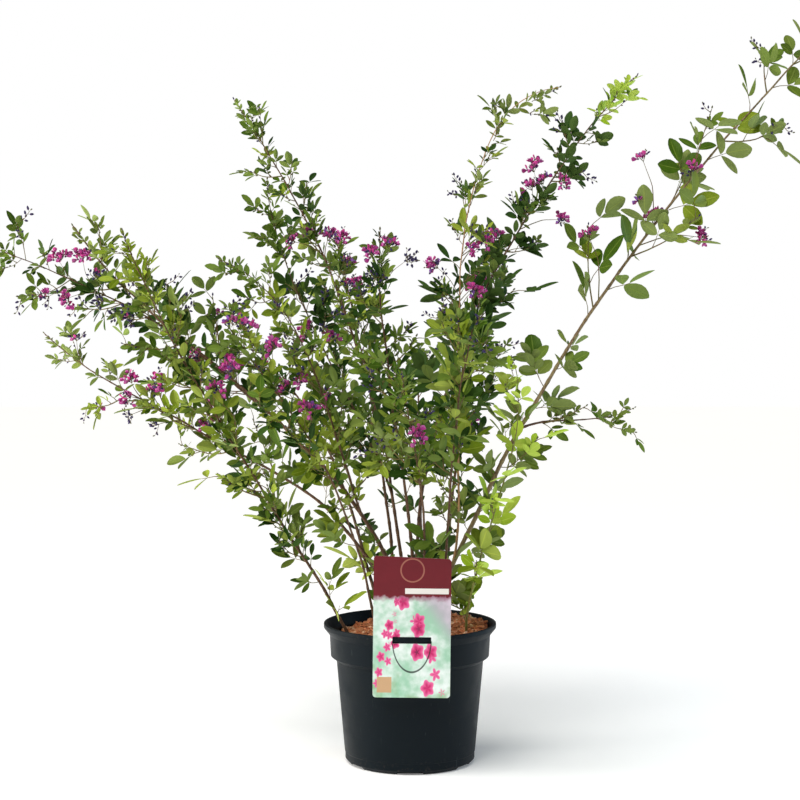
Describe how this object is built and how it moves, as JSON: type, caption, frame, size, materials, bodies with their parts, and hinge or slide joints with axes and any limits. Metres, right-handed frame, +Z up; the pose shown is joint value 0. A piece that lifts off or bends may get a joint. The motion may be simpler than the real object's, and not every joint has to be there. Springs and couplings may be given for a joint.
{
  "type": "potted bush clover",
  "caption": "Bush clover shrub in a black nursery pot: thin arching canes with leaves of three leaflets, pink-violet blossom, bark soil and a hanging card label",
  "frame": {"origin": "centre of the pot's flat underside, on the ground", "axes": "+Z is up along the pot's axis, -Y is the front, the way the label faces, and +X is the viewer's right, the side of the longest cane"},
  "size_m": [0.9761, 0.5922, 0.8325],
  "materials": {
    "pot_plastic": "green-black moulded plastic with a soft satin sheen",
    "soil": "loose red-brown bark chips and wood fibre, dull",
    "label_card": "thin printed plastic card, slightly glossy",
    "cane_bark": "smooth thin bark, brown, dull",
    "foliage_green": "mid-green leaves with paler backs, matt, with small pink-violet blossom",
    "foliage_dark": "dark green leaves, matt, with small pink-violet blossom",
    "foliage_bright": "bright yellow-green young leaves, matt"
  },
  "bodies": {
    "root": {"pot": "pot_plastic", "soil": "soil", "label_card": "label_card", "cane_back": "cane_bark", "cane_back_left": "cane_bark", "cane_back_right": "cane_bark", "cane_front": "cane_bark", "cane_front_right": "cane_bark", "cane_high_right": "cane_bark", "cane_inner_left": "cane_bark", "cane_left_back": "cane_bark", "cane_left_main": "cane_bark", "cane_long_right": "cane_bark", "cane_low_left": "cane_bark", "cane_mid": "cane_bark", "cane_outer_left": "cane_bark", "cane_right_low": "cane_bark", "cane_tall_left": "cane_bark", "foliage_back": "foliage_dark", "foliage_back_left": "foliage_dark", "foliage_back_right": "foliage_dark", "foliage_far_left": "foliage_bright", "foliage_front": "foliage_green", "foliage_front_right": "foliage_green", "foliage_high_right": "foliage_dark", "foliage_inner_left": "foliage_dark", "foliage_left_back": "foliage_green", "foliage_left_main": "foliage_green", "foliage_long_right": "foliage_green", "foliage_low_left": "foliage_bright", "foliage_mid": "foliage_dark", "foliage_outer_left": "foliage_bright", "foliage_right_low": "foliage_bright", "foliage_short_left": "foliage_green", "foliage_side_left": "foliage_green", "foliage_side_right": "foliage_green", "foliage_tall_left": "foliage_green", "foliage_upright": "foliage_dark"}
  },
  "joints": []
}
